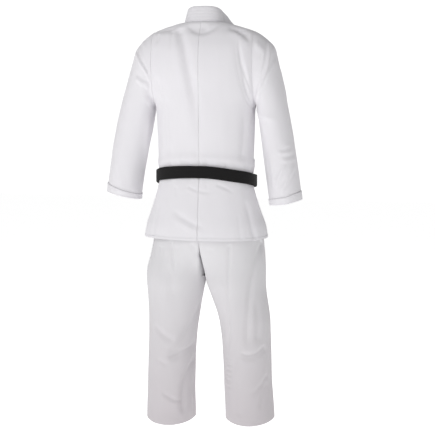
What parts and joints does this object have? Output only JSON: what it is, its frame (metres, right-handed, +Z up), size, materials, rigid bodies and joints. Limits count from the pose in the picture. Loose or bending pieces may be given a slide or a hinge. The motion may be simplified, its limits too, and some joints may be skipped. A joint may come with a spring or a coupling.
{
  "type": "martial arts uniform",
  "caption": "Wrap-front martial arts jacket with standing collar, wide sleeves and vented skirt, tied with a knotted belt over straight trousers.",
  "frame": {"origin": "middle of the neck opening, level with the nape", "axes": "+X towards the wearer's left hand, -Y the way the chest faces, +Z up out of the collar"},
  "size_m": [0.676, 0.3065, 1.4013],
  "materials": {
    "jacket_cotton": "plain woven canvas",
    "trouser_cotton": "plain woven canvas",
    "belt_cotton": "ribbed cotton band with rows of stitching"
  },
  "bodies": {
    "jacket": {"back_left": "jacket_cotton", "back_right": "jacket_cotton", "front_left": "jacket_cotton", "front_right": "jacket_cotton", "shoulder_yoke": "jacket_cotton", "collar": "jacket_cotton", "lapel_left": "jacket_cotton", "lapel_right": "jacket_cotton", "underarm_gussets": "jacket_cotton", "outer_tie_front": "jacket_cotton", "outer_tie_side": "jacket_cotton", "outer_tie_knot": "jacket_cotton", "inner_tie": "jacket_cotton", "belt_inner_wrap": "belt_cotton", "belt_outer_wrap": "belt_cotton", "belt_knot": "belt_cotton"},
    "sleeve_left": {"sleeve_left": "jacket_cotton", "cuff_facing_left": "jacket_cotton"},
    "sleeve_right": {"sleeve_right": "jacket_cotton", "cuff_facing_right": "jacket_cotton"},
    "back_skirt": {"back_skirt_left": "jacket_cotton", "back_skirt_right": "jacket_cotton", "vent_patches": "jacket_cotton"},
    "front_skirt": {"front_skirt_left": "jacket_cotton", "front_skirt_right": "jacket_cotton", "lapel_end_left": "jacket_cotton", "lapel_end_right": "jacket_cotton"},
    "belt_tail_left": {"belt_tail_left": "belt_cotton"},
    "belt_tail_right": {"belt_tail_right": "belt_cotton"},
    "trousers": {"waistband": "trouser_cotton", "seat_left": "trouser_cotton", "seat_right": "trouser_cotton", "crotch_gusset": "trouser_cotton"},
    "leg_left": {"leg_left": "trouser_cotton", "leg_facing_left": "trouser_cotton"},
    "leg_right": {"leg_right": "trouser_cotton", "leg_facing_right": "trouser_cotton"}
  },
  "joints": [
    {"name": "sleeve_left_lift", "type": "hinge", "parent": "jacket", "child": "sleeve_left", "pos_m": [0.1695, 0, -0.025], "axis": [0, -1, 0], "range_deg": [0, 75]},
    {"name": "sleeve_right_lift", "type": "hinge", "parent": "jacket", "child": "sleeve_right", "pos_m": [-0.1695, 0, -0.025], "axis": [0, 1, 0], "range_deg": [0, 75]},
    {"name": "back_skirt_lift", "type": "hinge", "parent": "jacket", "child": "back_skirt", "pos_m": [0, 0.1086, -0.5083], "axis": [1, 0, 0], "range_deg": [0, 50], "stiffness_Nm_per_rad": 0.15, "springref_deg": -28.65},
    {"name": "front_skirt_lift", "type": "hinge", "parent": "jacket", "child": "front_skirt", "pos_m": [0, -0.1185, -0.5571], "axis": [-1, 0, 0], "range_deg": [0, 30], "stiffness_Nm_per_rad": 0.25, "springref_deg": -28.65},
    {"name": "belt_tail_left_swing", "type": "hinge", "parent": "front_skirt", "child": "belt_tail_left", "pos_m": [0.018, -0.14415, -0.5686], "axis": [-1, 0, 0], "range_deg": [0, 40]},
    {"name": "belt_tail_right_swing", "type": "hinge", "parent": "front_skirt", "child": "belt_tail_right", "pos_m": [-0.018, -0.14415, -0.5686], "axis": [-1, 0, 0], "range_deg": [0, 40]},
    {"name": "trousers_off", "type": "slide", "parent": "jacket", "child": "trousers", "axis": [0, 0, -1], "range_m": [0, 0.35]},
    {"name": "leg_left_swing", "type": "hinge", "parent": "trousers", "child": "leg_left", "pos_m": [0.1, 0, -0.78], "axis": [-1, 0, 0], "range_deg": [-15, 40]},
    {"name": "leg_right_swing", "type": "hinge", "parent": "trousers", "child": "leg_right", "pos_m": [-0.1, 0, -0.78], "axis": [-1, 0, 0], "range_deg": [-15, 40]}
  ]
}
